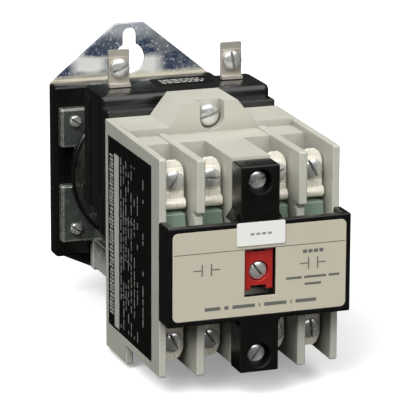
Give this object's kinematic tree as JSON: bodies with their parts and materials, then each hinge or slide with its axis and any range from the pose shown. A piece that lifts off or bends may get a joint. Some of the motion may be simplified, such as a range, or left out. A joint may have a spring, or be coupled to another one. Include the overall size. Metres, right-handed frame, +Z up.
{
  "type": "industrial control relay",
  "caption": "Open-style control relay: grey contact block with screw terminals, black coil housing and taped coil on a zinc-plated keyhole plate.",
  "frame": {"origin": "on the wall face of the mounting plate, level with the middle of the front cover, on the relay's left-right centre plane", "axes": "+X to the right as seen from the front, +Y back into the wall, +Z up"},
  "size_m": [0.07, 0.1504, 0.1118],
  "materials": {
    "zinc_plate": "bright zinc plate, faint blue and yellow tint",
    "black_moulding": "moulded, fine texture",
    "grey_moulding": "moulded, satin",
    "winding_tape": "taped winding, semi-gloss",
    "soft_iron": "machined",
    "screw_steel": "bright plated",
    "nickel_strip": "nickel plate, satin",
    "contact_brass": "bright",
    "spring_steel": "drawn wire",
    "green_moulding": "moulded, satin",
    "red_moulding": "moulded, satin",
    "cream_panel": "matte print ground",
    "label_black": "printed film",
    "label_white": "matte"
  },
  "bodies": {
    "frame": {"mounting_plate": "zinc_plate", "base_block": "black_moulding", "magnet_yoke": "zinc_plate", "yoke_screw_upper_left": "screw_steel", "yoke_screw_upper_right": "screw_steel", "yoke_screw_lower_left": "screw_steel", "yoke_screw_lower_right": "screw_steel", "magnet_core": "soft_iron", "front_pole_plate": "soft_iron", "coil_bobbin": "black_moulding", "coil_winding": "winding_tape", "coil_housing": "black_moulding", "housing_screw_upper": "screw_steel", "housing_screw_lower": "screw_steel", "coil_terminal_left": "nickel_strip", "coil_terminal_right": "nickel_strip", "coil_terminal_screw_left": "screw_steel", "coil_terminal_screw_right": "screw_steel", "contact_block": "grey_moulding", "side_label": "label_black", "block_screw_upper": "screw_steel", "block_screw_lower": "screw_steel", "return_spring": "spring_steel", "front_cover": "black_moulding", "nameplate": "cream_panel", "sticker": "label_white", "cover_screw_upper": "screw_steel", "cover_screw_lower": "screw_steel", "upper_terminal_1": "nickel_strip", "lower_terminal_1": "nickel_strip", "upper_terminal_screw_1": "screw_steel", "lower_terminal_screw_1": "screw_steel", "contact_cartridge_1": "green_moulding", "upper_terminal_2": "nickel_strip", "lower_terminal_2": "nickel_strip", "upper_terminal_screw_2": "screw_steel", "lower_terminal_screw_2": "screw_steel", "contact_cartridge_2": "green_moulding", "upper_terminal_3": "nickel_strip", "lower_terminal_3": "nickel_strip", "upper_terminal_screw_3": "screw_steel", "lower_terminal_screw_3": "screw_steel", "contact_cartridge_3": "green_moulding", "upper_terminal_4": "nickel_strip", "lower_terminal_4": "nickel_strip", "upper_terminal_screw_4": "screw_steel", "lower_terminal_screw_4": "screw_steel", "contact_cartridge_4": "green_moulding"},
    "moving_core": {"contact_carrier": "black_moulding", "plunger": "soft_iron", "red_actuator": "red_moulding", "actuator_screw": "screw_steel", "moving_contact_1": "contact_brass", "contact_spring_1": "spring_steel", "moving_contact_2": "contact_brass", "contact_spring_2": "spring_steel", "moving_contact_3": "contact_brass", "contact_spring_3": "spring_steel", "moving_contact_4": "contact_brass", "contact_spring_4": "spring_steel"}
  },
  "joints": [
    {"name": "core_pull_in", "type": "slide", "parent": "frame", "child": "moving_core", "axis": [0, 1, 0], "range_m": [0, 0.004], "stiffness_N_per_m": 1500, "springref_m": -0.004, "deforming": ["return_spring"]}
  ]
}
